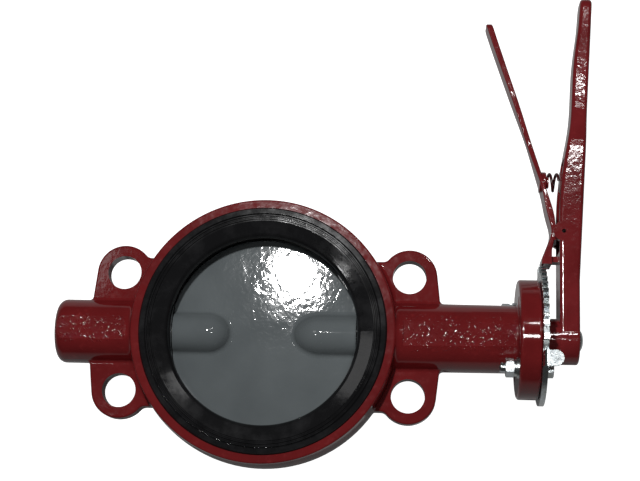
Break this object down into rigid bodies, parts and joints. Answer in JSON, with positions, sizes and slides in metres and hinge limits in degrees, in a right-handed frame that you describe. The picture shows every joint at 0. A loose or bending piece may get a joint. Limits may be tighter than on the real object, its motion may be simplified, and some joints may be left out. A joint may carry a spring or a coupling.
{
  "type": "butterfly valve",
  "caption": "Wafer butterfly valve with a rubber seat, a coated disc on split stems and a hand lever whose trigger locks into a notch plate.",
  "frame": {"origin": "centre of the bore, on the stem axis, midway between the two seat faces", "axes": "+X along the stem towards the lever, +Y along the lever in the closed position, +Z along the pipe axis"},
  "size_m": [0.4131, 0.3766, 0.1074],
  "materials": {
    "body_paint": "glossy red enamel over rough cast iron, orange peel",
    "lever_paint": "glossy red enamel over cast iron",
    "seat_rubber": "black moulded rubber, satin",
    "disc_coating": "smooth glossy grey coating over a casting",
    "zinc_plate": "bright zinc plating, faint blue tint",
    "stainless": "ground stainless bar",
    "bearing_bronze": "sintered bronze",
    "seal_rubber": "smooth black seal rubber",
    "spring_steel": "spring wire painted over with the lever"
  },
  "bodies": {
    "valve_body": {"body_casting": "body_paint", "seat_liner": "seat_rubber", "upper_bushing": "bearing_bronze", "middle_bushing": "bearing_bronze", "lower_bushing": "bearing_bronze", "stem_o_rings": "seal_rubber", "thrust_washer": "bearing_bronze", "stem_dust_seal": "seal_rubber", "bottom_plug": "zinc_plate", "plug_gasket": "seal_rubber", "notch_plate": "zinc_plate", "plate_bolts": "zinc_plate", "plate_flat_washers": "zinc_plate", "plate_lock_washers": "zinc_plate", "plate_nuts": "zinc_plate"},
    "disc_and_lever": {"disc": "disc_coating", "upper_stem": "stainless", "lower_stem": "stainless", "stem_retaining_ring": "spring_steel", "lever": "lever_paint", "lever_washer": "zinc_plate", "lever_screw": "zinc_plate", "trigger_pivot_pin": "lever_paint", "trigger_spring": "spring_steel"},
    "trigger": {"trigger": "lever_paint"}
  },
  "joints": [
    {"name": "lever_turn", "type": "hinge", "parent": "valve_body", "child": "disc_and_lever", "pos_m": [0, 0, 0], "axis": [1, 0, 0], "range_deg": [0, 90]},
    {"name": "trigger_squeeze", "type": "hinge", "parent": "disc_and_lever", "child": "trigger", "pos_m": [0.2284, 0.0824, 0], "axis": [0, 0, -1], "range_deg": [0, 9], "stiffness_Nm_per_rad": 2, "springref_deg": -20.05, "deforming": ["trigger_spring"]}
  ]
}
